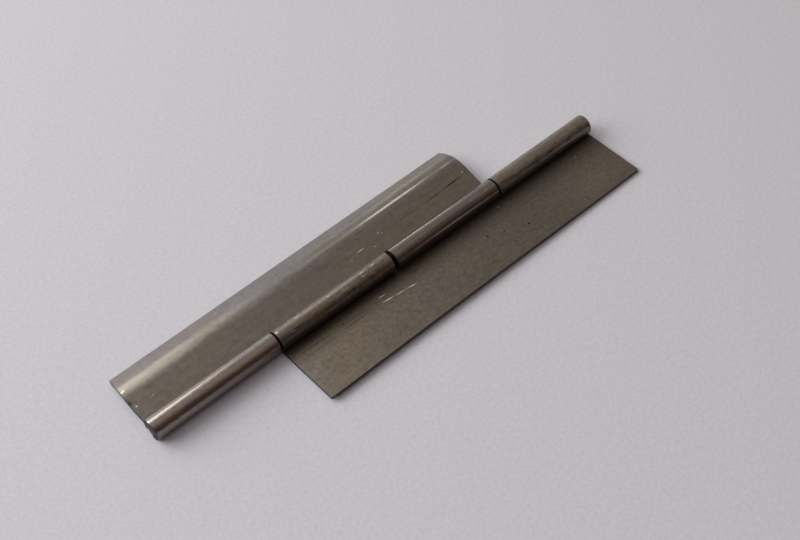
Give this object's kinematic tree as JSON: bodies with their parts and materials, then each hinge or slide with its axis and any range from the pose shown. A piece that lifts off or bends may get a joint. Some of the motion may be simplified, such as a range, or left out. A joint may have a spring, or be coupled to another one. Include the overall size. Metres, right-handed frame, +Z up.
{
  "type": "side case hinge",
  "caption": "Steel sheet hinge for a side case: a flat leaf and a crowned leaf, staggered end to end, with rolled knuckles turning on one plain pin.",
  "frame": {"origin": "on the surface that the open hinge lies on, below the middle of the barrel", "axes": "+X along the pin, towards the end where the flat leaf stands out; +Y towards the curved leaf; +Z up, on the side where the knuckles stand"},
  "size_m": [0.1502, 0.0422, 0.0059],
  "materials": {
    "curved_leaf_steel": "bare rolled sheet, satin with drawn grain",
    "flat_leaf_steel": "bare rolled sheet, dull satin",
    "pin_steel": "bare drawn rod, dark"
  },
  "bodies": {
    "flat_half": {"flat_leaf": "flat_leaf_steel", "hinge_pin": "pin_steel"},
    "curved_half": {"curved_leaf": "curved_leaf_steel"}
  },
  "joints": [
    {"name": "leaf_swing", "type": "hinge", "parent": "flat_half", "child": "curved_half", "pos_m": [0, 0, 0.00295], "axis": [1, 0, 0], "range_deg": [-70, 183]}
  ]
}
